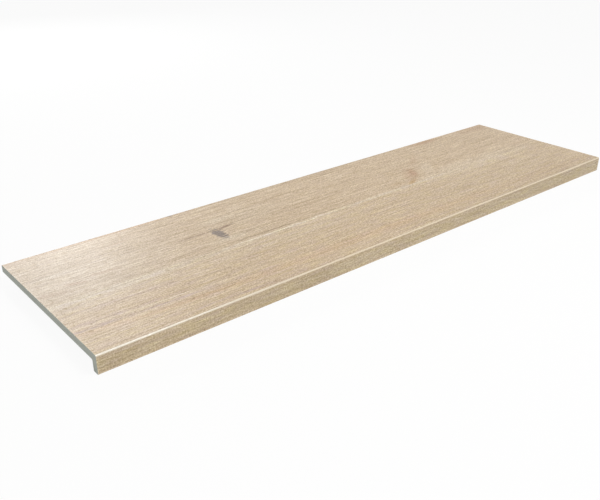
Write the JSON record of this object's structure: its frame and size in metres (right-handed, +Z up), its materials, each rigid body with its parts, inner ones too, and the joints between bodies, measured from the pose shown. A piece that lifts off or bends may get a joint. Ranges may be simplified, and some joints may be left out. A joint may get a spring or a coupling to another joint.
{
  "type": "stair tread",
  "caption": "Flat wood-effect porcelain stair tread whose front edge turns down into a short nose that laps over the edge of the step.",
  "frame": {"origin": "middle of the tread's box, on the level of the nose's foot", "axes": "+X along the tread to its right end as seen from the front, +Y from the nose to the back edge, +Z up out of the walking surface"},
  "size_m": [1.2, 0.328, 0.03],
  "materials": {
    "wood_effect_porcelain": "satin"
  },
  "bodies": {
    "root": {"stair_tread": "wood_effect_porcelain"}
  },
  "joints": []
}
